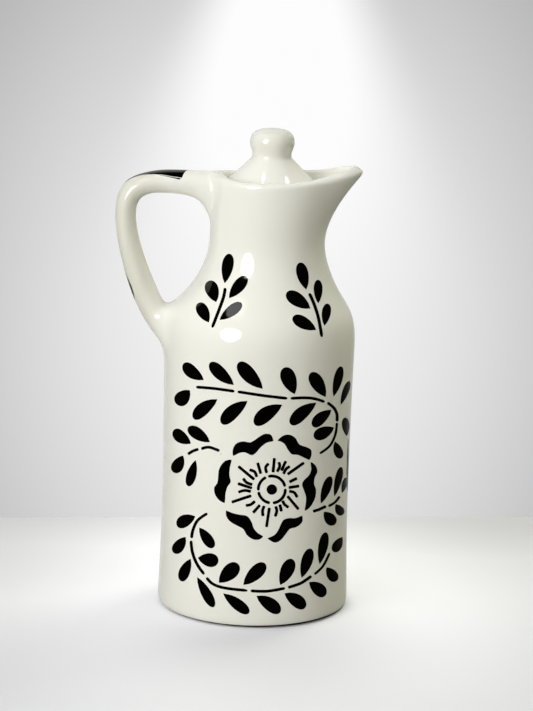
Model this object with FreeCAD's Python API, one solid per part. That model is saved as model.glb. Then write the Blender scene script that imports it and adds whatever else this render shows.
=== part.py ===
# One-litre jug for pouring cooking oil, in glazed stoneware, with its loose lid.
# The jug is cast in one piece: body, pulled spout, gallery for the lid, and strap handle.
# The lid is the second piece, and rests on the gallery inside the mouth.
# Millimetres, +Z up. The origin is the middle of the foot, on the surface the jug stands on.
# The spout points along +X and the handle along -X.
import FreeCAD
import Part
import math
import os

# Body, outside, from the foot up to where the shoulder starts to turn in
foot_radius = 47.6
foot_round = 3.6
waist_radius = 46.45
waist_height = 62.0
shoulder_radius = 47.1
shoulder_height = 130.0

# Neck and mouth, which stand a little towards the spout from the body's own axis
neck_radius = 28.1
neck_rise = 56.0
neck_shift = 2.3
mouth_radius = 28.7
mouth_rise = 28.9
mouth_shift = 3.5

# Wall
body_wall = 4.6
lip_wall = 5.8
floor_thickness = 6.5
floor_corner = 9.0
foot_ring_width = 6.5
foot_recess_depth = 1.6

# Spout
spout_overhang = 15.9
spout_rise = 5.4
spout_length = 32.0
spout_half_angle = 19.4

# Gallery: the ledge inside the mouth that the lid rests on, left open at the spout
seat_drop = 4.3
gallery_thickness = 3.4
gallery_slope = 1.2
gallery_width = 4.0
gallery_bite = 3.6
gallery_open_angle = 76.0

# Handle
arm_rise = 2.8
arm_thickness = 11.8
handle_overhang = 25.3
grip_thickness = 10.4
grip_width = 15.0
corner_size = 15.0
root_drop = 1.5
root_height = 23.5
root_depth = 2.6
root_spread = 3.2
root_rim_rise = 2.4

# Lid
lid_rise = 28.7
lid_gap = 1.2
lid_edge = 2.8
edge_break = 0.6
lid_wall = 4.2
collar_length = 5.4
collar_wall = 2.8
collar_gap = 0.7
knob_radius = 10.9
knob_neck_radius = 9.6
knob_length = 14.4

# Levels that follow
neck_height = shoulder_height + neck_rise
rim_height = neck_height + mouth_rise
lip_start = rim_height - 0.5 * lip_wall
seat_height = rim_height - seat_drop
arm_top = rim_height + arm_rise
root_low = shoulder_height - root_drop

# Fineness of the control nets
SKIN_RINGS = 36
STRAP_RINGS = 16
DEGREE = 3

# Widest gap closed where the neck's skin meets the turned body
JOINT_TOLERANCE = 0.001


def vec(x, y, z):
    return FreeCAD.Vector(x, y, z)


def mix(a, b, share):
    return a + (b - a) * share


def ease(share):
    """0 to 1 with level ends."""
    share = min(1.0, max(0.0, share))
    return share * share * (3.0 - 2.0 * share)


def skin(rings):
    """A smooth surface through a net of closed rings of poles, clamped at its first and last ring."""
    around = len(rings[0])
    along = len(rings)
    surface = Part.BSplineSurface()
    surface.buildFromPolesMultsKnots(
        [[ring[k] for ring in rings] for k in range(around)],
        [1] * (around + 1),
        [DEGREE + 1] + [1] * (along - DEGREE - 1) + [DEGREE + 1],
        [float(k) for k in range(around + 1)],
        [float(k) for k in range(along - DEGREE + 1)],
        True,
        False,
        DEGREE,
        DEGREE,
    )
    return surface.toShape()


def closed_solid(side, ends):
    """A skin and the flat faces that close it."""
    shell = Part.Shell([side] + ends)
    shell.sewShape()
    return Part.Solid(shell)


def open_edges(side):
    """The two closed edges at the ends of a skin, the longer first."""
    edges = [edge for edge in side.Edges if not edge.isSeam(side.Faces[0])]
    return sorted(edges, key=lambda edge: -edge.Length)


def pole_radius(radius, count):
    """The radius of a ring of poles whose smooth curve has the radius asked for."""
    return radius * 6.0 / (4.0 + 2.0 * math.cos(2.0 * math.pi / count))


def rounded_line(corners):
    """Edges through corners (x, z, cut): each corner is cut back by its own length and rounded by an arc."""
    points = [vec(x, 0, z) for x, z, cut in corners]
    edges = []
    at = points[0]
    for k in range(1, len(points) - 1):
        back = (points[k - 1] - points[k]).normalize()
        ahead = (points[k + 1] - points[k]).normalize()
        cut = corners[k][2]
        if cut == 0:
            edges.append(Part.makeLine(at, points[k]))
            at = points[k]
            continue
        start = points[k] + back * cut
        end = points[k] + ahead * cut
        half = 0.5 * back.getAngle(ahead)
        to_arc = cut / math.cos(half) - cut * math.tan(half)
        middle = points[k] + (back + ahead).normalize() * to_arc
        if (start - at).Length > 0.001:
            edges.append(Part.makeLine(at, start))
        edges.append(Part.Arc(start, middle, end).toShape())
        at = end
    edges.append(Part.makeLine(at, points[-1]))
    return edges


def turned_solid(edges):
    """What a closed profile in the XZ plane sweeps in one turn about the Z axis."""
    return Part.Face(Part.Wire(edges)).revolve(vec(0, 0, 0), vec(0, 0, 1), 360.0)


def wall_curve(inward):
    """The body's wall line, from the foot's roll to the shoulder, moved in by a wall thickness."""
    foot = foot_radius - inward
    waist = waist_radius - inward
    shoulder = shoulder_radius - inward
    level = 2.0 * waist_height - mix(foot_round, shoulder_height, 0.5)
    curve = Part.BezierCurve()
    curve.setPoles([
        vec(foot, 0, foot_round),
        vec(2.0 * waist - mix(foot, shoulder, 0.5), 0, level),
        vec(shoulder, 0, shoulder_height),
    ])
    return curve


def part_above(curve, z):
    """What is left of a wall line above a level."""
    low, middle, high = [pole.z for pole in curve.getPoles()]
    bend = low - 2.0 * middle + high
    climb = 2.0 * (middle - low)
    start = 2.0 * (z - low) / (climb + math.sqrt(climb * climb + 4.0 * bend * (z - low)))
    curve.segment(start, 1.0)
    return curve


def body():
    """Foot ring, floor and the slightly waisted wall, up to where the shoulder starts."""
    ring_inside = foot_radius - foot_round - foot_ring_width
    roll = math.sqrt(0.5)
    under = rounded_line([
        (0, foot_recess_depth, 0),
        (ring_inside - 2.0 * foot_recess_depth, foot_recess_depth, 0),
        (ring_inside, 0, 0),
        (foot_radius - foot_round, 0, 0),
    ])
    foot_edge = Part.Arc(
        vec(foot_radius - foot_round, 0, 0),
        vec(foot_radius - foot_round + roll * foot_round, 0, foot_round - roll * foot_round),
        vec(foot_radius, 0, foot_round),
    )
    outside = wall_curve(0.0)
    inside = part_above(wall_curve(body_wall), floor_thickness + floor_corner)
    top = Part.makeLine(outside.EndPoint, inside.EndPoint)
    corner = inside.StartPoint
    corner_edge = Part.Arc(
        corner,
        corner + vec((roll - 1.0) * floor_corner, 0, -roll * floor_corner),
        corner + vec(-floor_corner, 0, -floor_corner),
    )
    floor = Part.makeLine(corner + vec(-floor_corner, 0, -floor_corner), vec(0, 0, floor_thickness))
    axis = Part.makeLine(vec(0, 0, floor_thickness), vec(0, 0, foot_recess_depth))
    sides = [foot_edge.toShape(), outside.toShape(), top, inside.toShape(), corner_edge.toShape(), floor, axis]
    return turned_solid(under + sides)


def shift_at(z):
    """How far a ring's centre stands towards the spout."""
    share = ease(((z - shoulder_height) / neck_rise - 0.232) / 0.536)
    above = ease((z - neck_height) / mouth_rise / 0.79)
    return neck_shift * share + (mouth_shift - neck_shift) * above


def neck_profile():
    """Outside of shoulder, neck and mouth away from the spout, as poles (radius, height)."""
    # Shares of the way in and of the way up: the shoulder turns in, and the neck turns back up
    turn = [
        (0.0, 0.0),
        (-0.0036, 0.058),
        (-0.004, 0.127),
        (0.015, 0.225),
        (0.09, 0.318),
        (0.24, 0.406),
        (0.453, 0.499),
        (0.657, 0.601),
        (0.821, 0.712),
        (0.941, 0.828),
        (0.99, 0.94),
    ]
    mouth = [(0.05, 0.1), (0.3, 0.36), (0.6, 0.6), (0.85, 0.8), (1.0, 1.0)]
    profile = []
    for inner, up in turn:
        profile.append((mix(shoulder_radius, neck_radius, inner), mix(shoulder_height, neck_height, up)))
    for out, up in mouth:
        profile.append((mix(neck_radius, mouth_radius, out), mix(neck_height, lip_start, up)))
    return profile


def spout_profile(profile):
    """The same poles along the middle of the spout: they follow the neck, then sweep up and out to the tip."""
    swept = []
    for r, z in profile:
        climb = max(0.0, (z - lip_start + spout_length) / spout_length)
        swept.append((r + spout_overhang * climb ** 2.45, z + spout_rise * climb ** 1.6))
    return swept


def over_the_lip(profile):
    """Outside, over the rounded lip, and down the inside at the wall's thickness."""
    last = len(profile) - 1
    inside = []
    for k, (r, z) in enumerate(profile):
        before = profile[max(0, k - 1)]
        after = profile[min(last, k + 1)]
        run = math.hypot(after[0] - before[0], after[1] - before[1])
        wall = mix(body_wall, lip_wall, ease((z - shoulder_height) / (rim_height - shoulder_height)))
        inside.append((r - wall * (after[1] - before[1]) / run, z + wall * (after[0] - before[0]) / run))
    inside[0] = (shoulder_radius - body_wall, shoulder_height)
    inside[1] = (shoulder_radius - body_wall, profile[1][1])
    top, under = profile[-1], profile[-2]
    run = math.hypot(top[0] - under[0], top[1] - under[1])
    rise_r = (top[0] - under[0]) / run * 0.55 * lip_wall
    rise_z = (top[1] - under[1]) / run * 0.55 * lip_wall
    lip = [(top[0] + rise_r, top[1] + rise_z), (inside[-1][0] + rise_r, inside[-1][1] + rise_z)]
    return profile + lip + inside[::-1]


def lobe(angle):
    """1 at the middle of the spout, a half at its half angle, 0 at the handle."""
    half = math.tan(math.radians(spout_half_angle) / 2.0)
    ahead = math.cos(angle / 2.0) ** 2
    return ahead / (ahead + math.sin(angle / 2.0) ** 2 / half ** 2)


def neck_and_spout():
    """Shoulder, neck, spout and lip as one skin, outside and inside."""
    plain = over_the_lip(neck_profile())
    spout = over_the_lip(spout_profile(neck_profile()))
    rings = []
    for (r, z), (spout_r, spout_z) in zip(plain, spout):
        lift = root_rim_rise * ease((z - rim_height + 14.0) / 12.0)
        centre = shift_at(z)
        ring = []
        for k in range(SKIN_RINGS):
            angle = 2.0 * math.pi * k / SKIN_RINGS
            share = lobe(angle)
            behind = ((1.0 - math.cos(angle)) / 2.0) ** 9
            reach = pole_radius(mix(r, spout_r, share), SKIN_RINGS)
            height = mix(z, spout_z, share ** 0.7) + lift * behind
            ring.append(vec(centre + reach * math.cos(angle), reach * math.sin(angle), height))
        rings.append(ring)
    side = skin(rings)
    outer, inner = open_edges(side)
    return closed_solid(side, [Part.Face([Part.Wire([outer]), Part.Wire([inner])])])


def gallery():
    """The ledge under the lid, with a sloping underside, and open where the oil passes to the spout."""
    bore = mouth_radius - lip_wall - gallery_width
    outer = mouth_radius - lip_wall + gallery_bite
    under = seat_height - gallery_thickness
    profile = Part.makePolygon([
        vec(bore, 0, seat_height),
        vec(bore, 0, under),
        vec(outer, 0, under - gallery_slope),
        vec(outer, 0, seat_height),
        vec(bore, 0, seat_height),
    ])
    ring = Part.Face(profile).revolve(vec(0, 0, 0), vec(0, 0, 1), 360.0 - gallery_open_angle)
    ring.rotate(vec(0, 0, 0), vec(0, 0, 1), gallery_open_angle / 2.0)
    ring.translate(vec(mouth_shift, 0, 0))
    return ring


def strap_stations():
    """The handle from mouth to shoulder: outer point, inner point and half width of each section."""
    half = 0.5 * grip_width
    spread = half + root_spread
    under = arm_top - arm_thickness
    wall = mouth_shift - mouth_radius
    body = -shoulder_radius
    far = body - handle_overhang
    near = far + grip_thickness
    arm = wall - far
    root_high = root_low + root_height
    fall = arm_top - corner_size - root_low
    return [
        ((wall + root_depth, arm_top - 0.9), (wall + root_depth, under - 19.0), spread),
        ((wall + 0.2, arm_top - 0.2), (wall + 0.2, under - 15.5), spread - 0.4),
        ((wall - 0.07 * arm, arm_top), (wall - 0.05 * arm, under - 8.5), half + 1.8),
        ((wall - 0.176 * arm, arm_top), (wall - 0.123 * arm, under - 2.3), half + 0.7),
        ((wall - 0.339 * arm, arm_top), (wall - 0.275 * arm, under), half),
        ((wall - 0.53 * arm, arm_top), (wall - 0.466 * arm, under + 0.4), half),
        ((far + 0.9 * corner_size, arm_top - 1.7), (near + 6.6, under + 0.4), half),
        ((far + 0.32 * corner_size, arm_top - 0.34 * corner_size), (near + 1.0, under - 2.6), half),
        ((far + 0.3, arm_top - 0.85 * corner_size), (near - 0.6, under - 8.3), half),
        ((far - 0.4, arm_top - 1.55 * corner_size), (near - 0.2, under - 15.3), half),
        ((far + 0.9, root_low + 0.74 * fall), (near + 1.4, root_low + 0.735 * fall), half),
        ((far + 3.7, root_low + 0.575 * fall), (near + 4.3, root_low + 0.61 * fall), half),
        ((far + 7.3, root_low + 0.42 * fall), (near + 7.9, root_low + 0.49 * fall), half + 0.2),
        ((far + 12.0, root_low + 0.26 * fall), (near + 11.9, root_low + 0.375 * fall), half + 0.8),
        ((body - 6.3, root_low + 0.115 * fall), (body + 0.8, root_high - 0.8), half + 1.8),
        ((body - 1.2, root_low + 1.3), (body + 4.2, root_high - 0.6), spread - 0.6),
        ((body + root_depth - 0.8, root_low - 1.5), (body + root_depth + 4.3, root_high + 1.5), spread - 0.4),
    ]


def handle():
    """A strap of soft oval section that flares into the wall at both ends."""
    squareness = 0.82
    rings = []
    for (out_x, out_z), (in_x, in_z), half_width in strap_stations():
        ring = []
        for k in range(STRAP_RINGS):
            angle = 2.0 * math.pi * k / STRAP_RINGS
            across = math.copysign(abs(math.cos(angle)) ** squareness, math.cos(angle))
            side = math.copysign(abs(math.sin(angle)) ** squareness, math.sin(angle))
            share = 0.5 - 0.5 * pole_radius(across, STRAP_RINGS)
            width = half_width * pole_radius(side, STRAP_RINGS)
            ring.append(vec(mix(out_x, in_x, share), width, mix(out_z, in_z, share)))
        rings.append(ring)
    side = skin(rings)
    return closed_solid(side, [Part.Face(Part.Wire([edge])) for edge in open_edges(side)])


def jug():
    """The whole casting."""
    wall = body().fuse((neck_and_spout(),), JOINT_TOLERANCE)
    return wall.fuse(gallery()).fuse(handle())


def lid():
    """Knob, cone, flange and locating collar, hollow underneath, turned about the mouth's axis."""
    flange = mouth_radius - lip_wall - lid_gap
    collar = mouth_radius - lip_wall - gallery_width - collar_gap
    bore = collar - collar_wall
    top = seat_height + lid_rise
    edge_top = seat_height + lid_edge
    knob_base = top - knob_length
    collar_foot = seat_height - collar_length
    outline = rounded_line([
        (0, top, 0),
        (0.477 * knob_radius, top, 0.477 * knob_radius),
        (knob_radius, top - 0.257 * knob_length, 0.1 * knob_length),
        (knob_radius, top - 0.61 * knob_length, 0.21 * knob_length),
        (knob_neck_radius - 0.2, knob_base + 0.07 * knob_length, 0.09 * knob_length),
        (flange - edge_break, edge_top + edge_break, 0),
        (flange, edge_top, 0),
        (flange, seat_height + edge_break, 0),
        (flange - edge_break, seat_height, 0),
        (collar, seat_height, 0),
        (collar, collar_foot + edge_break, 0),
        (collar - edge_break, collar_foot, 0),
        (bore, collar_foot, 0),
        (bore, edge_top, 1.5),
        (knob_neck_radius - 1.0, knob_base - lid_wall, 3.0),
        (0, knob_base - lid_wall, 0),
        (0, top, 0),
    ])
    solid = turned_solid(outline)
    solid.translate(vec(mouth_shift, 0, 0))
    return solid


def save(name, shape):
    solid = shape.Solids[0]
    solid.exportStep(os.path.join("parts", name + ".step"))
    print(name, "solids", len(shape.Solids), "valid", solid.isValid(), "cm3", round(solid.Volume / 1000.0, 1))


os.makedirs("parts", exist_ok=True)
save("jug", jug())
save("lid", lid())
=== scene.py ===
import math

import bmesh
import bpy
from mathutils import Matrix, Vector
from mathutils.bvhtree import BVHTree


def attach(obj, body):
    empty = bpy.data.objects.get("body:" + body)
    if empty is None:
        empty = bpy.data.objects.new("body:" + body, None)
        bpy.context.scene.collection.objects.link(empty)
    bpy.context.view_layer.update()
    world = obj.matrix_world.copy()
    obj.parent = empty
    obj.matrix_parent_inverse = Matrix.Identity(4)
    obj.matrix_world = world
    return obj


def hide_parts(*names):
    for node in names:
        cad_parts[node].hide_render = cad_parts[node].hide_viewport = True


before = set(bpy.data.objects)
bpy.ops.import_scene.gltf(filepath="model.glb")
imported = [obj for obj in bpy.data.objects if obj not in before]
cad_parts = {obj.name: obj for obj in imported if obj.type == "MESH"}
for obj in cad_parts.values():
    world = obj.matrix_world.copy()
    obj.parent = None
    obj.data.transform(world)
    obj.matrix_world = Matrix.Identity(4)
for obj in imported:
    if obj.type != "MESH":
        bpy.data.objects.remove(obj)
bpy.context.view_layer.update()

# Viewpoint
# The jug is seen from its front, with the spout to the right, from a little above and about
# 1.2 m away. The camera is tipped slightly, so the jug leans a touch to the right.
# Picture size and focal length are in points of the picture, angles in degrees, places in metres.
viewer_place = (0.0037, -1.2, 0.377)
look_down = 11.8
sideways_tip = 1.69
picture_size = (533.0, 711.0)
focal_length = 2470.0
bpy.ops.object.select_all(action="DESELECT")
bpy.ops.object.camera_add(location=viewer_place)
camera = bpy.context.object
camera.name = "camera"
camera.rotation_mode = "ZYX"
camera.rotation_euler = (math.radians(90.0 - look_down), 0.0, math.radians(sideways_tip))
camera.data.sensor_width = 36.0
camera.data.lens = camera.data.sensor_width * focal_length / picture_size[1]
bpy.context.scene.camera = camera
bpy.context.view_layer.update()

# Jug wall
# One stoneware casting: foot ring, slightly waisted body, shoulder, neck and a thick rounded lip.
# The mouth was pulled out into the spout while the clay was soft, and leans the neck that way.
# Sizes, places and heights of the jug and the lid are in millimetres.
MM = 0.001
WALL_SIDES = 36
SMOOTHING = 2
SAME_POINT = 0.01 * MM
shoulder_height = 134.0
lip_height = 212.0
rim_height = 214.9
body_wall = 4.6
lip_wall = 5.8
lip_bulge = 0.55 * lip_wall
neck_shift = 2.3
neck_start = 143.0
neck_run = 30.0
mouth_shift = 3.5
mouth_start = 186.0
mouth_run = 22.9


def mix(a, b, share):
    return a + (b - a) * share


def ease(share):
    """0 to 1 with level ends."""
    share = min(1.0, max(0.0, share))
    return share * share * (3.0 - 2.0 * share)


def cage_radius(radius, sides):
    """How wide a control ring is drawn for its smoothed ring to have this radius."""
    return radius * 6.0 / (4.0 + 2.0 * math.cos(math.tau / sides))


def start_cage(name, sides, filled):
    """A circle in edit mode whose vertices carry their number round it."""
    bpy.ops.object.select_all(action="DESELECT")
    bpy.ops.mesh.primitive_circle_add(
        vertices=sides, radius=MM, fill_type="NGON" if filled else "NOTHING"
    )
    cage = bpy.context.object
    cage.name = name
    bpy.ops.object.mode_set(mode="EDIT")
    bpy.ops.mesh.select_all(action="SELECT")
    mesh = bmesh.from_edit_mesh(cage.data)
    number = mesh.verts.layers.int.new("number")
    for vertex in mesh.verts:
        turn = math.atan2(vertex.co.y, vertex.co.x) / math.tau * sides
        vertex[number] = round(turn) % sides
    return cage


def place_ring(cage, ring):
    """Puts the selected ring where it belongs, in millimetres."""
    mesh = bmesh.from_edit_mesh(cage.data)
    number = mesh.verts.layers.int["number"]
    for vertex in mesh.verts:
        if vertex.select:
            vertex.co = Vector(ring[vertex[number]]) * MM
    bmesh.update_edit_mesh(cage.data)


def extrude_rings(cage, rings):
    """Extrudes the selected end of a cage ring by ring."""
    place_ring(cage, rings[0])
    for ring in rings[1:]:
        if cage.data.total_face_sel:
            bpy.ops.mesh.extrude_region_move()
        else:
            bpy.ops.mesh.extrude_edges_move()
        place_ring(cage, ring)


def smooth_cage(cage):
    """Closes doubles, turns the faces outwards and smooths the cage for good."""
    bpy.ops.object.mode_set(mode="EDIT")
    bpy.ops.mesh.select_all(action="SELECT")
    bpy.ops.mesh.remove_doubles(threshold=SAME_POINT)
    bpy.ops.mesh.normals_make_consistent(inside=False)
    bpy.ops.object.mode_set(mode="OBJECT")
    smoothing = cage.modifiers.new("smoothing", "SUBSURF")
    smoothing.levels = SMOOTHING
    bpy.ops.object.modifier_apply(modifier="smoothing")
    bpy.ops.object.shade_smooth()


def shift_at(height):
    """How far the neck's axis stands towards the spout."""
    neck = ease((height - neck_start) / neck_run)
    mouth = ease((height - mouth_start) / mouth_run)
    return neck_shift * neck + (mouth_shift - neck_shift) * mouth


# The outline runs up the outside from the foot's recess, as radius and height.
foot = [(24.0, 1.6), (31.0, 1.6), (34.2, 1.6), (36.4, 0.8), (37.4, 0.0), (39.0, 0.0), (42.5, 0.0)]
foot += [(45.8, 0.0), (47.6, 1.1), (47.7, 4.7)]
waist = [(47.5, 12.4), (47.0, 24.8), (46.6, 42.2), (46.45, 62.0), (46.6, 82.2), (46.7, 102.3)]
waist += [(46.95, 119.6)]
shoulder = [(47.15, 130.9), (47.25, 137.1), (46.8, 142.6), (45.4, 147.8), (42.6, 152.7), (38.5, 157.9)]
neck = [(34.6, 163.6), (31.5, 169.9), (29.25, 176.4), (28.3, 182.2), (28.1, 187.2), (28.2, 192.4)]
mouth = [(28.4, 199.2), (28.6, 206.0), (28.7, lip_height)]
plain = waist + shoulder + neck + mouth
inner_floor = [(42.9, 11.0), (42.0, 7.4), (38.4, 6.5), (33.9, 6.5), (24.0, 6.5)]
inner_corner = 16.0
seat_share = 0.33


def over_the_lip(outside):
    """Radii and heights up the outside, over the lip and down the inside to the floor."""
    inside = []
    last = len(outside) - 1
    for k, (radius, height) in enumerate(outside):
        before = outside[max(0, k - 1)]
        after = outside[min(last, k + 1)]
        run = math.dist(before, after)
        thickening = ease((height - shoulder_height) / (rim_height - shoulder_height))
        wall = mix(body_wall, lip_wall, thickening)
        inside.append((
            radius - wall * (after[1] - before[1]) / run,
            height + wall * (after[0] - before[0]) / run,
        ))
    top, under = outside[-1], outside[-2]
    run = math.dist(top, under)
    over = [lip_bulge * (a - b) / run for a, b in zip(top, under)]
    lip = [(edge[0] + over[0], edge[1] + over[1]) for edge in (top, inside[-1])]
    seat = tuple(mix(a, b, seat_share) for a, b in zip(inside[-1], inside[-2]))
    down = [inside[-1], seat] + [point for point in inside[-2::-1] if point[1] > inner_corner]
    return outside + lip + down + inner_floor


# Towards the spout the mouth's outline is pulled outwards and up, the more the nearer the lip.
spout_root = 180.0
spout_reach = 16.1
spout_sweep = 2.35
spout_rise = 5.5
spout_curl = 1.6
pulled = []
for radius, height in plain:
    climb = max(0.0, (height - spout_root) / (lip_height - spout_root))
    pulled.append((radius + spout_reach * climb**spout_sweep, height + spout_rise * climb**spout_curl))

# Round the mouth the pulled outline fades into the plain one within the spout's half angle, and its
# rim falls away from a level tip. Behind, the rim rises a little where the handle is stuck on.
spout_half_angle = math.radians(19.4)
spout_tip_share = 0.94
spout_fall = 0.7
handle_lift = 2.4
lift_focus = 9
lift_start = rim_height - 14.0
lift_run = 12.0
rings = []
section = foot + over_the_lip(plain)
spout_section = foot + over_the_lip(pulled)
for (radius, height), (spout_radius, spout_height) in zip(section, spout_section):
    ring = []
    for k in range(WALL_SIDES):
        angle = math.tau * k / WALL_SIDES
        ahead = math.cos(angle / 2.0) ** 2
        aside = math.sin(angle / 2.0) ** 2 / math.tan(spout_half_angle / 2.0) ** 2
        share = ahead / (ahead + aside)
        reach = cage_radius(mix(radius, spout_radius, share), WALL_SIDES)
        behind = ((1.0 - math.cos(angle)) / 2.0) ** lift_focus
        lift = handle_lift * behind * ease((height - lift_start) / lift_run)
        ring.append((
            shift_at(height) + reach * math.cos(angle),
            reach * math.sin(angle),
            mix(height, spout_height, min(share, spout_tip_share) ** spout_fall) + lift,
        ))
    rings.append(ring)
jug = start_cage("jug_casting", WALL_SIDES, filled=True)
extrude_rings(jug, rings)


def select_faces(cage, wanted):
    """Selects the faces whose middle, in millimetres, is wanted."""
    bpy.ops.mesh.select_mode(type="FACE")
    bpy.ops.mesh.select_all(action="DESELECT")
    mesh = bmesh.from_edit_mesh(cage.data)
    for face in mesh.faces:
        face.select_set(wanted(face.calc_center_median() / MM))
    mesh.select_flush_mode()
    bmesh.update_edit_mesh(cage.data)


def select_edges(cage, wanted):
    """Selects the edges that are wanted."""
    bpy.ops.mesh.select_mode(type="EDGE")
    bpy.ops.mesh.select_all(action="DESELECT")
    mesh = bmesh.from_edit_mesh(cage.data)
    for edge in mesh.edges:
        edge.select_set(wanted(edge))
    mesh.select_flush_mode()
    bmesh.update_edit_mesh(cage.data)


def bearing(point, centre=0.0):
    """Degrees round from the spout, 0 to 180 on either side."""
    return abs(math.degrees(math.atan2(point.y, point.x - centre)))


# The gallery that the lid rests on is a ledge round the inside of the mouth, open at the spout.
mouth_bore = 22.9
gallery_bore = 18.9
gallery_opening = 38.0
gallery_bottom = 206.0
gallery_top = 211.5
inside_reach = 25.0
select_faces(
    jug,
    lambda p: bearing(p, mouth_shift) > gallery_opening
    and gallery_bottom < p.z < gallery_top
    and math.hypot(p.x - mouth_shift, p.y) < inside_reach,
)
bpy.ops.mesh.extrude_region_move()
narrowed = gallery_bore / mouth_bore
gallery_centre = (mouth_shift * MM, 0.0, gallery_bottom * MM)
bpy.ops.transform.resize(value=(narrowed, narrowed, 1.0), center_override=gallery_centre)

# Handle
# A strap of clay with a soft oval section, pulled by hand. It was stuck to the mouth and the
# shoulder while wet, so it flares into the wall at both ends, and it is glazed as one with the jug.
STRAP_SIDES = 16
joint_bearing = 158.0
mouth_joint = (195.0, 218.0, 24.0)
shoulder_joint = (130.5, 153.0, 43.3)


def in_joint(point, joint):
    """Whether a point lies between a joint's heights and beyond its radius."""
    bottom, top, radius = joint
    return bottom < point.z < top and math.hypot(point.x, point.y) > radius


# The wall is opened where the strap joins it.
select_faces(
    jug,
    lambda p: bearing(p) > joint_bearing and (in_joint(p, mouth_joint) or in_joint(p, shoulder_joint)),
)
bpy.ops.mesh.delete(type="FACE")
bpy.ops.object.mode_set(mode="OBJECT")

# Outer point, inner point (x and height) and half width of each section, from mouth to shoulder
sections = [
    ((-27.4, 217.7), (-26.8, 195.4), 7.9),
    ((-32.6, 217.7), (-30.6, 203.4), 7.5),
    ((-41.2, 217.7), (-38.2, 205.9), 7.5),
    ((-50.2, 217.7), (-47.2, 206.3), 7.5),
    ((-58.9, 216.0), (-55.4, 206.3), 7.5),
    ((-67.6, 212.6), (-61.0, 203.3), 7.5),
    ((-72.1, 204.9), (-62.6, 197.6), 7.5),
    ((-72.8, 194.4), (-62.2, 190.6), 7.5),
    ((-71.5, 183.4), (-60.6, 183.0), 7.5),
    ((-68.7, 171.2), (-57.7, 173.8), 7.5),
    ((-65.1, 159.7), (-54.1, 164.9), 7.7),
    ((-60.4, 147.8), (-50.1, 156.3), 8.3),
    ((-53.4, 137.0), (-46.9, 149.6), 9.3),
]
# At the mouth the strap's sides reach further in than its middle, so that they hug the round wall.
mouth_hug = 2.8
rings = []
for outer, inner, half_width in sections:
    hug = 0.0 if rings else mouth_hug
    ring = []
    for k in range(STRAP_SIDES):
        angle = math.tau * k / STRAP_SIDES
        share = 0.5 - 0.5 * cage_radius(math.cos(angle), STRAP_SIDES)
        ring.append((
            mix(outer[0], inner[0], share) + hug * math.sin(angle) ** 2,
            half_width * cage_radius(math.sin(angle), STRAP_SIDES),
            mix(outer[1], inner[1], share),
        ))
    rings.append(ring)
strap = start_cage("strap", STRAP_SIDES, filled=False)
extrude_rings(strap, rings)

# The strap's first ring is creased, so that the joint at the mouth turns quickly into the wall.
crease_x = -28.0
crease_bottom = 190.0
select_edges(
    strap,
    lambda edge: all(v.co.x > crease_x * MM and v.co.z > crease_bottom * MM for v in edge.verts),
)
bpy.ops.transform.edge_crease(value=1.0)
bpy.ops.object.mode_set(mode="OBJECT")
jug.select_set(True)
bpy.context.view_layer.objects.active = jug
bpy.ops.object.join()

# Both gaps between the strap's ends and the holes in the wall are bridged, each at its heights.
mouth_gap = (190.0, 225.0)
shoulder_gap = (120.0, 160.0)
bpy.ops.object.mode_set(mode="EDIT")
for bottom, top in (mouth_gap, shoulder_gap):
    select_edges(
        jug,
        lambda edge: edge.is_boundary
        and bottom < (edge.verts[0].co.z + edge.verts[1].co.z) / 2.0 / MM < top,
    )
    bpy.ops.mesh.bridge_edge_loops()
bpy.ops.object.mode_set(mode="OBJECT")
smooth_cage(jug)

# Glaze
# Jug and lid are dipped in a milky ivory glaze and fired glossy, with the faint unevenness of a dipped
# glaze and a few pinholes. Handle and knob are tinted a darker olive as painted shade, and the bottom
# edge of the foot is painted near-black and matt as contact shadow.
ivory_shade = (0.80, 0.79, 0.735, 1.0)
ivory_light = (0.83, 0.82, 0.77, 1.0)
pinhole_brown = (0.2, 0.17, 0.12, 1.0)
painted_olive_shade = (0.44, 0.43, 0.31, 1.0)
contact_shadow_black = (0.012, 0.009, 0.006, 1.0)
glaze_ior = 1.5
pinhole_size = 0.015
pinhole_strength = 0.5
handle_side = 46.0 * MM
handle_bottom = 120.0 * MM
handle_shade_strength = 0.34
knob_neck = 224.5 * MM
knob_shade_strength = 0.13


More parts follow.
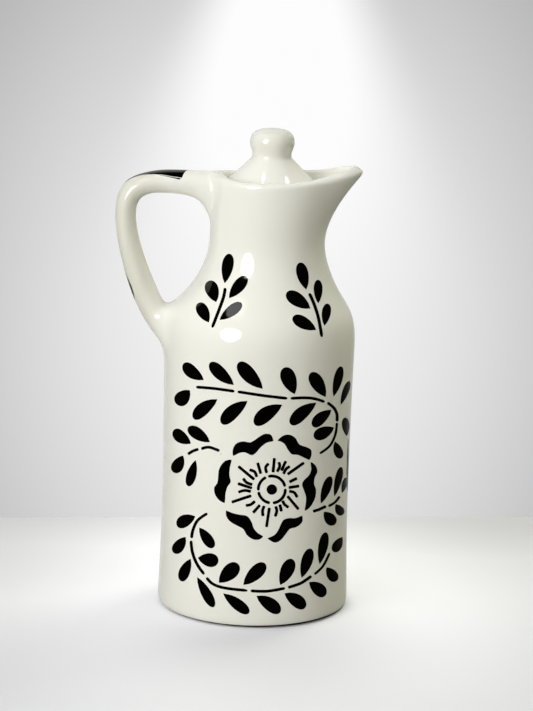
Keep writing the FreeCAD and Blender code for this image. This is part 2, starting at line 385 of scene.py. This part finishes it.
class Wire:
    """An output in a node tree. Arithmetic on it adds the math nodes."""

    def __init__(self, tree, socket=None):
        self.tree = tree
        self.socket = socket

    def node(self, kind, settings, values, output=0):
        made = self.tree.nodes.new(kind)
        for name, value in settings.items():
            setattr(made, name, value)
        for name, value in values.items():
            if isinstance(value, Wire):
                self.tree.links.new(value.socket, made.inputs[name])
            else:
                made.inputs[name].default_value = value
        return Wire(self.tree, made.outputs[output])

    def math(self, operation, a, b=0.0):
        return self.node("ShaderNodeMath", {"operation": operation}, {0: a, 1: b})

    def __add__(self, other):
        return self.math("ADD", self, other)

    def __sub__(self, other):
        return self.math("SUBTRACT", self, other)

    def __rsub__(self, other):
        return self.math("SUBTRACT", other, self)

    def __mul__(self, other):
        return self.math("MULTIPLY", self, other)

    def __truediv__(self, other):
        return self.math("DIVIDE", self, other)

    def __pow__(self, other):
        return self.math("POWER", self, other)

    __radd__ = __add__
    __rmul__ = __mul__

    def bell(self, middle, width, steepness=2.0):
        """1 at the middle, falling away smoothly on both sides."""
        away = self.math("ABSOLUTE", (self - middle) / width)
        return self.math("EXPONENT", 0.0 - away**steepness)

    def climb(self, start, run):
        """0 up to the start, then evenly up to 1 over the run."""
        return self.node("ShaderNodeClamp", {}, {0: (self - start) / run})

    def split(self):
        parts = self.node("ShaderNodeSeparateXYZ", {}, {0: self})
        return [Wire(self.tree, socket) for socket in parts.socket.node.outputs]

    def tint(self, red, green, blue):
        return self.node("ShaderNodeCombineXYZ", {}, {0: red, 1: green, 2: blue})

    def blend(self, share, first, second):
        """A colour between two colours."""
        return self.node("ShaderNodeMix", {"data_type": "RGBA"}, {0: share, 6: first, 7: second}, 2)


def new_material(name):
    """A material, the start of its wires and its main shader."""
    material = bpy.data.materials.new(name)
    material.use_nodes = True
    nodes = material.node_tree.nodes
    return material, Wire(material.node_tree), nodes["Principled BSDF"]


def feed(shader, name, wire):
    wire.tree.links.new(wire.socket, shader.inputs[name])


ivory_glaze, wires, shader = new_material("ivory_glaze")
place = wires.node("ShaderNodeTexCoord", {}, {}, "Object")
across, back, up = place.split()
cloud = wires.node("ShaderNodeTexNoise", {}, {"Vector": place, "Scale": 22.0, "Detail": 3.0})
dimple = wires.node("ShaderNodeTexNoise", {}, {"Vector": place, "Scale": 75.0, "Detail": 2.0})
pore = wires.node("ShaderNodeTexVoronoi", {}, {"Vector": place, "Scale": 40.0}, "Distance")
pinhole = wires.math("LESS_THAN", pore, pinhole_size)
# Painted shade: the handle and the top of the knob are tinted a darker olive.
grip = (0.0 - across).climb(handle_side, 12.0 * MM) * up.climb(handle_bottom, 20.0 * MM)
knob = up.climb(knob_neck, 4.0 * MM)
# Painted contact shadow: a near-black matt band round the bottom of the foot, higher towards the right.
contact_shadow_top = 1.4 * MM + 0.012 * across
painted_contact_shadow = wires.math("LESS_THAN", up, contact_shadow_top)
tone = wires.blend(cloud, ivory_shade, ivory_light)
tone = wires.blend(pinhole_strength * pinhole, tone, pinhole_brown)
tone = wires.blend(handle_shade_strength * grip + knob_shade_strength * knob, tone, painted_olive_shade)
tone = wires.blend(painted_contact_shadow, tone, contact_shadow_black)
feed(shader, "Base Color", tone)
feed(shader, "Roughness", 0.04 + 0.04 * cloud + 0.7 * painted_contact_shadow)
relief = wires.node("ShaderNodeBump", {}, {"Height": dimple, "Strength": 0.05, "Distance": 0.0004})
feed(shader, "Normal", relief)
shader.inputs["IOR"].default_value = glaze_ior
jug.data.materials.append(ivory_glaze)
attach(jug, "root")
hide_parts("jug")

# Lid
# A second casting, glazed all over: a domed knob on a straight cone, a thin flange that rests on
# the gallery, and a collar below it that keeps the lid centred. It is hollow underneath and loose.
LID_SIDES = 32
knob_outline = [(3.0, 239.3), (6.4, 238.9), (9.4, 237.4), (10.85, 234.7), (11.0, 231.2), (9.85, 229.0)]
knob_outline += [(9.4, 226.4), (9.8, 225.0)]
cone = [(10.7, 224.2), (12.6, 222.3), (15.8, 219.1), (19.3, 215.9), (21.0, 214.6)]
flange = [(21.6, 213.6), (21.7, 212.6), (21.7, 211.3), (21.4, 210.75), (20.6, 210.65), (18.5, 210.65)]
collar = [(18.15, 210.4), (18.15, 209.0), (18.15, 206.2), (18.0, 205.3), (17.4, 205.2), (16.0, 205.2)]
collar += [(15.5, 205.4), (15.4, 206.3), (15.4, 210.5)]
hollow = [(15.2, 213.2), (13.8, 215.2), (10.6, 218.6), (8.4, 220.3), (6.4, 220.7), (3.0, 220.7)]
rings = []
for radius, height in knob_outline + cone + flange + collar + hollow:
    reach = cage_radius(radius, LID_SIDES)
    turns = [math.tau * k / LID_SIDES for k in range(LID_SIDES)]
    rings.append([(mouth_shift + reach * math.cos(a), reach * math.sin(a), height) for a in turns])
lid = start_cage("lid_casting", LID_SIDES, filled=True)
extrude_rings(lid, rings)
smooth_cage(lid)
lid.data.materials.append(ivory_glaze)
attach(lid, "root")
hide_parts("lid")

# Ornament
# Black flower and leaf work stencilled on the raw clay and covered by the clear glossy glaze: two
# vines and a rosette on the body, two sprigs on the shoulder, and brush strokes on the handle.
view_matrix = camera.matrix_world.to_3x3()
view_point = camera.matrix_world.translation
jug_surface = BVHTree.FromObject(jug, bpy.context.evaluated_depsgraph_get())
paint_height = 0.06 * MM
paint_thickness = 0.3 * MM
body_middle = 258.0
side_step = 0.2
over_handle = 300.0
behind_handle = -120.0
leaf_fullness = 2.38
leaf_point = 0.2
stroke_end = 0.55


def on_jug(x, y):
    """The place on the jug seen at a point of the picture, brought inwards until it meets the jug."""
    hit = None
    while hit is None:
        aim = Vector((x - picture_size[0] / 2.0, picture_size[1] / 2.0 - y, -focal_length))
        hit, normal = jug_surface.ray_cast(view_point, (view_matrix @ aim).normalized())[:2]
        x += side_step if x < body_middle else -side_step
    return hit + normal * paint_height


def from_above(x, y):
    """The place on top of the handle at a distance along it and across it, in millimetres."""
    start = Vector((x, y, over_handle)) * MM
    hit, normal = jug_surface.ray_cast(start, Vector((0.0, 0.0, -1.0)))[:2]
    return hit + normal * paint_height


def from_behind(y, z):
    """The place on the outer face of the handle at a distance across it and a height."""
    start = Vector((behind_handle, y, z)) * MM
    hit, normal = jug_surface.ray_cast(start, Vector((1.0, 0.0, 0.0)))[:2]
    return hit + normal * paint_height


def painted(name, shapes, cast):
    """One sheet of paint from shapes, each a list of rows of points, which the cast lays on the jug."""
    vertices = []
    faces = []
    for rows in shapes:
        first = len(vertices)
        width = len(rows[0])
        for row in rows:
            vertices += [cast(x, y) for x, y in row]
        for k in range(len(rows) - 1):
            for i in range(width - 1):
                corner = first + k * width + i
                faces.append((corner, corner + 1, corner + width + 1, corner + width))
    sheet = bpy.data.meshes.new(name)
    sheet.from_pydata(vertices, [], faces)
    piece = bpy.data.objects.new(name, sheet)
    bpy.context.collection.objects.link(piece)
    return piece


def along(points, share):
    """A point on the smooth line through the points given."""
    place = share * (len(points) - 1)
    k = min(int(place), len(points) - 2)
    t = place - k
    a = points[max(k - 1, 0)]
    b = points[k]
    c = points[k + 1]
    d = points[min(k + 2, len(points) - 1)]
    return tuple(
        0.5 * (2 * q + (r - p) * t + (2 * p - 5 * q + 4 * r - s) * t * t + (3 * q - p - 3 * r + s) * t**3)
        for p, q, r, s in zip(a, b, c, d)
    )


def between(one, other, cells=3, rows=18, spread=2.6):
    """Rows from one edge of a shape to its other edge, a little wider in the middle of its length."""
    shape = []
    for j in range(rows + 1):
        a = along(one, j / rows)
        b = along(other, j / rows)
        more = 0.5 * spread * math.sin(math.pi * j / rows) ** 0.5 / max(math.dist(a, b), 1.0)
        shares = [mix(-more, 1.0 + more, i / cells) for i in range(cells + 1)]
        shape.append([tuple(mix(p, q, share) for p, q in zip(a, b)) for share in shares])
    return shape


def leaf(tip, end, width, bend=0.0, rows=14, cells=4, spread=1.0):
    """Pointed at the tip, widest about two thirds of the way, and rounded at the end."""
    dx, dy = end[0] - tip[0], end[1] - tip[1]
    long = math.hypot(dx, dy)
    shape = []
    for j in range(rows + 1):
        t = 1.0 - (1.0 - j / rows) ** 2
        swell = leaf_fullness * t**0.8 * math.sqrt(1.0 - t)
        half = max(leaf_point, 0.5 * (width + spread) * swell)
        sway = bend * math.sin(math.pi * t)
        row = []
        for i in range(cells + 1):
            off = sway + half * (2.0 * i / cells - 1.0)
            row.append((tip[0] + dx * t - dy / long * off, tip[1] + dy * t + dx / long * off))
        shape.append(row)
    return shape


def stroke(points, width=3.0, rows=14):
    """A line of even width with rounded ends."""
    shape = []
    for j in range(rows + 1):
        here = along(points, j / rows)
        near = along(points, max(0.0, (j - 0.5) / rows))
        far = along(points, min(1.0, (j + 0.5) / rows))
        run = math.dist(near, far)
        half = 0.5 * width * (stroke_end if j in (0, rows) else 1.0)
        side = ((near[1] - far[1]) / run * half, (far[0] - near[0]) / run * half)
        shape.append([(here[0] - side[0], here[1] - side[1]), (here[0] + side[0], here[1] + side[1])])
    return shape


def arc(centre, radius, start, stop):
    """A stroke round a centre, from one number of degrees to another."""
    turns = [math.radians(mix(start, stop, k / 6)) for k in range(7)]
    return stroke([(centre[0] + radius * math.cos(a), centre[1] - radius * math.sin(a)) for a in turns])


def dot(centre, radius):
    """A round spot in rows from near its centre to its edge."""
    steps = (0.02 * radius, 0.5 * radius, radius)
    turns = [math.radians(a) for a in range(0, 361, 20)]
    return [[(centre[0] + r * math.cos(a), centre[1] + r * math.sin(a)) for r in steps] for a in turns]


# The stencil's cut-outs, as points of the picture from its upper left corner
shoulder_sprigs = [
    stroke([(225.2, 288.0), (223.6, 297.0), (219.0, 310.0), (212.2, 327.6)], 3.2),
    leaf((224.7, 283.0), (229.7, 253.8), 10.6),
    leaf((229.2, 298.0), (246.4, 276.6), 10.8),
    leaf((216.2, 302.0), (209.0, 280.8), 12.4),
    leaf((219.8, 319.8), (241.6, 303.2), 9.8),
    leaf((208.8, 322.4), (198.6, 303.0), 11.0),
    stroke([(309.2, 293.2), (314.0, 304.0), (318.4, 318.0), (321.8, 336.8)], 3.2),
    leaf((306.2, 289.4), (299.8, 262.6), 10.8),
    leaf((310.2, 308.4), (286.6, 292.6), 12.6),
    leaf((318.2, 303.2), (318.0, 279.8), 7.8),
    leaf((316.0, 329.8), (292.8, 317.0), 11.2),
    leaf((324.4, 325.6), (327.6, 303.6), 8.0),
]
upper_vine = [
    stroke([(196.2, 387.0), (215.0, 388.6), (234.4, 391.3)]),
    stroke([(237.7, 391.7), (262.0, 395.4), (287.3, 398.4)]),
    stroke([(290.6, 398.4), (303.0, 397.8), (314.0, 398.6), (324.6, 401.8)]),
    stroke([(327.4, 402.6), (333.6, 407.6), (336.8, 414.0), (337.0, 421.4)]),
    stroke([(336.9, 422.6), (335.4, 434.0), (329.8, 445.8), (319.6, 453.6)], 2.4),
    leaf((203.6, 379.8), (183.4, 363.8), 11.4, -1.2),
    leaf((233.8, 384.8), (210.0, 362.8), 11.8, -0.8),
    leaf((262.6, 388.6), (238.4, 362.6), 13.6, -0.6),
    leaf((294.6, 394.0), (284.4, 367.6), 14.2),
    leaf((325.6, 396.8), (311.0, 372.6), 12.4),
    leaf((333.6, 396.4), (341.2, 366.4), 7.8),
    leaf((340.8, 404.6), (349.2, 381.2), 5.4),
    leaf((346.6, 436.0), (345.0, 417.6), 6.6),
    leaf((334.8, 441.6), (340.6, 458.4), 8.0),
    leaf((189.8, 390.2), (176.6, 404.2), 13.4),
    leaf((217.2, 399.4), (193.4, 418.4), 12.0, 1.4),
    leaf((247.4, 401.0), (221.4, 423.4), 13.0, 1.4),
    leaf((282.0, 404.8), (254.4, 424.2), 13.6, 1.6),
    leaf((316.0, 402.8), (290.4, 424.2), 12.0, 1.2),
    leaf((331.2, 410.0), (312.6, 426.2), 10.4, 0.8),
    leaf((333.8, 427.6), (314.0, 437.4), 11.2),
]
lower_vine = [
    stroke([(207.4, 513.4), (198.0, 520.0), (193.0, 530.0), (191.6, 538.2)]),
    stroke([(191.0, 540.6), (192.4, 552.0), (197.0, 564.0), (204.2, 574.4)]),
    stroke([(206.4, 577.6), (213.0, 584.0), (225.0, 588.0), (247.4, 590.6)]),
    stroke([(250.6, 590.8), (267.0, 591.2), (285.0, 588.2)]),
    stroke([(288.0, 587.6), (301.0, 583.0), (311.4, 576.0)]),
    stroke([(314.4, 574.4), (323.0, 566.0), (329.6, 553.0)], 2.4),
    leaf((195.2, 516.4), (177.0, 525.6), 11.4, 0.8),
    leaf((185.6, 537.0), (174.0, 553.0), 10.4),
    leaf((190.6, 558.8), (181.2, 581.2), 10.0, 0.6),
    leaf((197.4, 577.4), (213.8, 607.0), 9.2),
    leaf((223.4, 593.6), (249.0, 613.0), 10.4),
    leaf((256.6, 596.0), (280.2, 612.2), 12.4, -0.8),
    leaf((284.6, 593.4), (305.4, 607.4), 12.2, -0.8),
    leaf((309.2, 582.2), (325.4, 595.4), 11.6, -0.6),
    leaf((326.6, 567.4), (336.4, 581.0), 9.8),
    leaf((342.2, 537.0), (333.6, 551.8), 8.4),
    leaf((199.4, 527.6), (213.4, 547.6), 9.8),
    leaf((198.0, 557.8), (218.4, 561.6), 12.8),
    leaf((219.0, 582.6), (238.2, 564.0), 14.2),
    leaf((243.4, 584.8), (265.2, 563.6), 12.6),
    leaf((280.2, 584.8), (292.4, 559.2), 12.4),
    leaf((301.6, 577.6), (310.8, 548.6), 10.2),
    leaf((319.6, 563.8), (325.8, 532.4), 8.6),
]
side_sprigs = [
    stroke([(188.0, 454.2), (192.6, 451.2), (198.6, 449.0)]),
    stroke([(201.2, 448.8), (209.0, 447.2), (219.6, 450.8)]),
    leaf((190.8, 443.6), (173.6, 430.2), 11.0, -1.0),
    leaf((209.8, 442.0), (188.2, 427.4), 10.8),
    leaf((183.0, 455.6), (174.0, 472.6), 11.0),
    leaf((195.6, 460.2), (188.4, 486.2), 8.8),
    stroke([(313.0, 511.4), (319.6, 509.2), (326.0, 506.2)]),
    stroke([(328.4, 506.2), (334.8, 502.4), (339.6, 496.4)], 2.4),
    leaf((321.0, 503.2), (330.6, 476.4), 8.0),
    leaf((334.4, 496.2), (341.2, 467.0), 6.2),
    leaf((342.0, 492.8), (346.2, 477.6), 4.2),
    leaf((324.0, 511.8), (334.8, 524.4), 10.2),
    leaf((335.8, 504.2), (342.4, 515.0), 7.6),
    leaf((348.0, 438.0), (347.2, 491.0), 1.8, spread=0.0),
]
heart = (271.8, 489.5)
heart_ring = 13.5
rosette = [
    dot(heart, 5.3),
    arc(heart, heart_ring, 106.0, 12.0),
    arc(heart, heart_ring, 3.0, -86.0),
    arc(heart, heart_ring, -98.0, -170.0),
    arc(heart, heart_ring, 184.0, 115.0),
    stroke([(257.6, 462.6), (260.8, 473.8)]),
    stroke([(268.6, 463.4), (265.6, 467.6), (266.8, 473.0)]),
    stroke([(274.4, 458.0), (273.0, 472.4)]),
    stroke([(278.8, 462.0), (279.6, 466.6), (277.0, 471.8)]),
    stroke([(285.8, 461.0), (281.4, 470.8)]),
    stroke([(289.8, 466.4), (286.0, 469.0), (283.4, 474.0)]),
    stroke([(304.0, 462.6), (287.4, 474.4)]),
    stroke([(297.0, 478.2), (289.2, 482.0)]),
    stroke([(299.2, 486.0), (288.6, 487.6)]),
    stroke([(289.0, 491.2), (294.2, 492.6), (297.2, 497.4)]),
    stroke([(287.4, 496.0), (298.6, 509.4)]),
    stroke([(282.6, 500.6), (284.6, 504.6), (288.6, 507.4)]),
    stroke([(279.8, 504.4), (281.4, 511.4)]),
    stroke([(275.6, 506.2), (276.8, 511.0), (275.0, 516.6)]),
    stroke([(269.4, 507.6), (266.4, 527.2)]),
    stroke([(264.2, 505.8), (262.6, 510.6), (263.0, 516.2)]),
    stroke([(260.0, 505.0), (253.0, 512.8)]),
    stroke([(255.0, 501.2), (250.6, 504.6), (245.6, 505.4)]),
    stroke([(251.4, 495.6), (231.6, 502.2)]),
    stroke([(251.0, 491.6), (244.8, 490.4), (238.2, 492.2)]),
    stroke([(252.0, 488.2), (237.8, 483.4)]),
    stroke([(252.4, 484.6), (246.8, 482.6), (243.0, 478.4)]),
    stroke([(254.4, 479.6), (238.2, 466.2)]),
    stroke([(256.8, 477.0), (254.6, 471.8), (249.4, 469.8)]),
    between(
        [(233.0, 456.0), (233.6, 449.6), (237.0, 444.2), (244.0, 442.4), (251.0, 443.6), (259.0, 438.0),
         (265.0, 434.8), (270.8, 435.6), (273.4, 441.0)],
        [(233.0, 456.0), (239.0, 452.4), (245.0, 451.6), (251.0, 454.0), (256.0, 451.4), (261.0, 446.2),
         (267.0, 442.0), (273.4, 441.0)],
    ),
    between(
        [(277.4, 440.4), (283.0, 436.2), (289.2, 435.6), (294.8, 439.0), (298.2, 445.2), (305.0, 447.6),
         (310.0, 450.2), (310.6, 455.6), (309.4, 460.0)],
        [(277.4, 440.4), (281.4, 441.0), (285.4, 443.4), (289.0, 449.2), (293.0, 453.6), (299.0, 454.4),
         (305.0, 457.4), (309.4, 460.0)],
    ),
    between(
        [(310.6, 462.0), (315.0, 466.0), (316.4, 472.0), (313.4, 478.0), (312.8, 484.0), (314.8, 490.0),
         (313.8, 498.4), (309.4, 506.6), (304.6, 510.8)],
        [(310.6, 462.0), (311.8, 469.0), (309.8, 475.0), (305.6, 479.4), (303.4, 484.4), (305.2, 490.4),
         (307.0, 496.6), (306.4, 504.0), (304.6, 510.8)],
    ),
    between(
        [(302.2, 515.6), (301.4, 521.6), (295.6, 526.2), (289.2, 527.8), (285.0, 533.0), (280.4, 539.0),
         (274.6, 541.8), (267.4, 538.4)],
        [(302.2, 515.6), (296.0, 518.6), (290.0, 519.0), (284.2, 521.0), (281.2, 526.0), (278.2, 531.8),
         (274.0, 536.2), (267.4, 538.4)],
    ),
    between(
        [(226.0, 510.4), (227.0, 516.0), (231.4, 521.2), (239.0, 525.2), (244.2, 528.2), (247.4, 534.0),
         (253.0, 538.2), (259.0, 538.8), (263.2, 536.4)],
        [(226.0, 510.4), (231.4, 513.4), (239.0, 515.6), (246.6, 517.2), (250.8, 522.8), (253.4, 529.2),
         (257.8, 533.8), (263.2, 536.4)],
    ),
    between(
        [(231.6, 459.6), (225.2, 461.6), (220.2, 469.0), (219.4, 477.0), (218.6, 483.0), (215.4, 487.4),
         (216.0, 494.0), (220.0, 500.0), (224.8, 503.0)],
        [(231.6, 459.6), (229.2, 467.0), (228.2, 475.0), (229.4, 482.0), (226.4, 487.0), (224.8, 494.0),
         (224.8, 503.0)],
    ),
]

# The handle's strokes are laid on in millimetres, as seen from above and from behind it.
top_stroke = [
    between(
        [(-67.6, -1.6), (-62.8, -2.4), (-58.4, -3.3), (-54.0, -4.5), (-49.1, -5.4), (-45.0, -6.1),
         (-39.9, -6.4)],
        [(-67.6, 0.6), (-61.0, 3.4), (-56.0, 4.2), (-51.0, 4.6), (-46.0, 4.8), (-41.0, 4.8),
         (-35.8, 4.6)],
        cells=16,
        rows=30,
        spread=0.0,
    ),
    between(
        [(-51.0, -5.6), (-48.0, -6.1), (-45.0, -6.6), (-41.2, -7.0)],
        [(-51.0, -5.5), (-48.0, -5.9), (-45.0, -6.35), (-40.4, -6.65)],
        spread=0.0,
    ),
]
low_stroke = [leaf((-0.3, 168.5), (-0.3, 152.5), 9.4, rows=30, cells=16, spread=0.0)]


def finish_paint(piece):
    """Gives a sheet of paint its thickness, down into the wall."""
    bpy.ops.object.select_all(action="DESELECT")
    piece.select_set(True)
    bpy.context.view_layer.objects.active = piece
    bpy.ops.object.mode_set(mode="EDIT")
    bpy.ops.mesh.select_all(action="SELECT")
    bpy.ops.mesh.remove_doubles(threshold=SAME_POINT)
    mesh = bmesh.from_edit_mesh(piece.data)
    for face in mesh.faces:
        outward = jug_surface.find_nearest(face.calc_center_median())[1]
        face.select_set(face.normal.dot(outward) < 0.0)
    bmesh.update_edit_mesh(piece.data)
    bpy.ops.mesh.flip_normals()
    bpy.ops.object.mode_set(mode="OBJECT")
    depth = piece.modifiers.new("depth", "SOLIDIFY")
    depth.thickness = paint_thickness
    depth.offset = -1.0
    for modifier in list(piece.modifiers):
        bpy.ops.object.modifier_apply(modifier=modifier.name)
    bpy.ops.object.shade_smooth_by_angle(angle=math.radians(40.0))


black_paint, wires, shader = new_material("black_paint")
place = wires.node("ShaderNodeTexCoord", {}, {}, "Object")
cloud = wires.node("ShaderNodeTexNoise", {}, {"Vector": place, "Scale": 60.0, "Detail": 3.0})
feed(shader, "Roughness", 0.05 + 0.05 * cloud)
shader.inputs["Base Color"].default_value = (0.0, 0.0, 0.0, 1.0)
shader.inputs["IOR"].default_value = glaze_ior

# The stencil was used again on the far side of the body, so those sheets are mirrored there.
for name, shapes, cast in (
    ("paint_shoulder_sprigs", shoulder_sprigs, on_jug),
    ("paint_upper_vine", upper_vine, on_jug),
    ("paint_rosette", rosette, on_jug),
    ("paint_side_sprigs", side_sprigs, on_jug),
    ("paint_lower_vine", lower_vine, on_jug),
    ("paint_top_stroke", top_stroke, from_above),
    ("paint_low_stroke", low_stroke, from_behind),
):
    piece = painted(name, shapes, cast)
    if cast is on_jug:
        other_side = piece.modifiers.new("other_side", "MIRROR")
        other_side.use_axis = (False, True, False)
    finish_paint(piece)
    piece.data.materials.append(black_paint)
    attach(piece, "root")

# Table
# A plain matt white table top that ends close behind the jug. For the camera a soft pool of light round
# the jug's foot is painted on it, with painted shadow in front of the jug, a painted dark ring close
# round the foot, a painted glow at the front left and painted dimming towards the far edge; the lamps add
# the jug's own shadow.
table_edge = 0.155
table_size = 6.0
table_turn = math.radians(6.5)
table_middle = (0.0, table_edge - table_size / 2.0, 0.0)
bpy.ops.mesh.primitive_plane_add(size=table_size, location=table_middle)
bpy.ops.transform.rotate(value=-table_turn, orient_axis="Z", center_override=(0.0, table_edge, 0.0))
bpy.ops.object.transform_apply(location=True, rotation=True)
floor = bpy.context.object
floor.name = "floor"
floor.visible_glossy = False

table_grey = 0.42
painted_pool_strength = 0.69
painted_shadow_strength = 0.5
painted_glow_strength = 0.07
edge_dimming = 0.22
contact_shadow_shift = 0.0015
contact_shadow_radius_squared = 0.00215
floor_paper, wires, shader = new_material("floor_paper")
across, back, up = wires.node("ShaderNodeTexCoord", {}, {}, "Object").split()
seen = wires.node("ShaderNodeLightPath", {}, {}, "Is Camera Ray")
# Painted contact shadow: the floor's glow stops in a ring close round the foot, set a little to the
# right.
aside = across - contact_shadow_shift
clear_of_contact_shadow = 1.0 - (aside * aside + back * back).bell(0.0, contact_shadow_radius_squared, 6.0)
# Painted light and shade for the camera: a pool of light round the jug, a shadow in front of it and a
# glow at the front left corner, the pool dimmed towards the far edge.
painted_pool = across.bell(0.008, 0.107) * back.bell(0.009, 0.184)
painted_shadow = across.bell(0.013, 0.064) * back.bell(-0.053, 0.102)
painted_corner_glow = across.bell(-0.14, 0.08) * back.bell(-0.2, 0.13)
far = back.climb(0.086, 0.069)
painted_floor_light = 0.015 + painted_pool_strength * painted_pool * (1.0 - edge_dimming * far)
painted_floor_light = (painted_floor_light - painted_shadow_strength * painted_shadow + painted_glow_strength * painted_corner_glow) * seen * clear_of_contact_shadow

# It looks white with a breath of blue to the camera, darker towards its far edge as painted shade, and
# sends a greyer, warmer light to the jug.
cover = table_grey + 0.2 * seen - 0.075 * seen * far
feed(shader, "Base Color", wires.tint(cover, cover, cover * (0.93 + 0.13 * seen)))
feed(shader, "Emission Color", wires.tint(painted_floor_light, painted_floor_light, painted_floor_light))
shader.inputs["Emission Strength"].default_value = 1.0
shader.inputs["Roughness"].default_value = 0.7
shader.inputs["Specular IOR Level"].default_value = 0.0
floor.data.materials.append(floor_paper)

# Backdrop
# A plain pale paper well behind the table, which glows though it is no lamp: its brightness and a soft
# white beam down its middle from above are painted light. The glow is for the camera and the glaze's
# reflections only, and puts no light on the jug.
backdrop_size = 8.0
backdrop_place = (0.0, 2.5, 0.0)
upright = (math.radians(90.0), 0.0, 0.0)
bpy.ops.mesh.primitive_plane_add(size=backdrop_size, location=backdrop_place, rotation=upright)
bpy.ops.object.transform_apply(location=True, rotation=True)
backdrop = bpy.context.object
backdrop.name = "backdrop"
backdrop.visible_diffuse = False
backdrop.visible_shadow = False

glow_strength = 0.915
beam_strength = 0.365
brightest = 0.98
backdrop_paper, wires, shader = new_material("backdrop_paper")
across, back, up = wires.node("ShaderNodeTexCoord", {}, {}, "Object").split()
wide = glow_strength * across.bell(0.0, 0.75) * up.bell(-0.36, 0.98)
beam_width = 0.172 - 0.359 * up
beam = beam_strength * ((across - 0.018) / beam_width).bell(0.0, 1.0, 4.0) * up.bell(0.184, 0.348)
glow = wires.math("MINIMUM", wires.math("MAXIMUM", wide + beam - 0.047, 0.0), brightest)
seen = wires.node("ShaderNodeLightPath", {}, {}, "Is Camera Ray")
# What the glaze reflects of it is a dimmer painted glow, brighter towards the left.
mirrored = 0.03 + 0.65 * across.bell(-0.5, 1.5)
glow = mirrored + (glow - mirrored) * seen
feed(shader, "Emission Color", wires.tint(glow, glow, glow))
shader.inputs["Emission Strength"].default_value = 1.0
shader.inputs["Base Color"].default_value = (0.0, 0.0, 0.0, 1.0)
shader.inputs["Specular IOR Level"].default_value = 0.0
backdrop.data.materials.append(backdrop_paper)

# Light
# An oval soft box at the front left and an umbrella above it make the two white highlights, and two
# small lamps glint on lid and rim. The broad lamps light the jug all round, unseen in its glaze.
lamp_distance = 1.2
glint_distance = 1.4


def lamp(name, aim, turn, rise, size, power, colour=(1.0, 1.0, 1.0), distance=lamp_distance):
    """An oval lamp facing the aim, so many degrees to the right of the viewer and up."""
    side, height = math.radians(turn), math.radians(rise)
    level = math.cos(height)
    way = Vector((math.sin(side) * level, -math.cos(side) * level, math.sin(height)))
    bpy.ops.object.light_add(type="AREA", location=Vector(aim) + way * distance)
    made = bpy.context.object
    made.name = name
    made.data.shape = "ELLIPSE"
    made.data.size, made.data.size_y = size
    made.data.energy = power
    made.data.color = colour
    made.rotation_euler = way.to_track_quat("Z", "Y").to_euler()
    return made


shoulder_aim = (0.0, -0.03, 0.16)
lid_aim = (0.004, -0.018, 0.217)
cool = (0.9, 0.92, 1.0)
warm = (1.0, 1.0, 0.88)
warmer = (1.0, 1.0, 0.86)
highlights = [
    lamp("key", shoulder_aim, -37.0, 18.5, (0.54, 0.64), 10.0),
    lamp("umbrella", shoulder_aim, -58.0, 60.0, (0.42, 0.34), 0.9),
]
for made in highlights:
    made.visible_diffuse = False
lamp("left_glint", lid_aim, -94.0, 77.6, (0.15, 0.15), 0.5, distance=glint_distance)
lamp("right_glint", lid_aim, 112.0, 66.0, (0.15, 0.15), 0.5, distance=glint_distance)
broad_lamps = [
    lamp("bounce", shoulder_aim, -35.0, 11.0, (1.3, 1.3), 16.9),
    lamp("left_top", shoulder_aim, -50.0, 70.0, (0.7, 0.7), 3.4, cool),
    lamp("right_top", shoulder_aim, 60.0, 60.0, (0.7, 0.7), 2.9, warm),
    lamp("back_top", shoulder_aim, 175.0, 72.0, (0.5, 0.5), 1.8),
    lamp("left_rim", shoulder_aim, -115.0, 10.0, (0.6, 0.6), 1.4),
    lamp("right_rim", shoulder_aim, 140.0, 20.0, (0.7, 0.7), 10.5, warmer),
]
for made in broad_lamps:
    made.visible_glossy = False

# The room is dim and yellowish, and pale where the camera looks past the backdrop.
world = bpy.data.worlds.new("room")
bpy.context.scene.world = world
world.use_nodes = True
room = Wire(world.node_tree)
glossy = room.node("ShaderNodeLightPath", {}, {}, "Is Glossy Ray")
seen = room.node("ShaderNodeLightPath", {}, {}, "Is Camera Ray")
fill = world.node_tree.nodes["Background"]
feed(fill, "Color", room.tint(1.0, 0.95 + 0.05 * seen, 0.4 + 0.6 * seen))
feed(fill, "Strength", 0.07 - 0.05 * glossy + 0.6 * seen)
bpy.context.scene.view_settings.view_transform = "Standard"
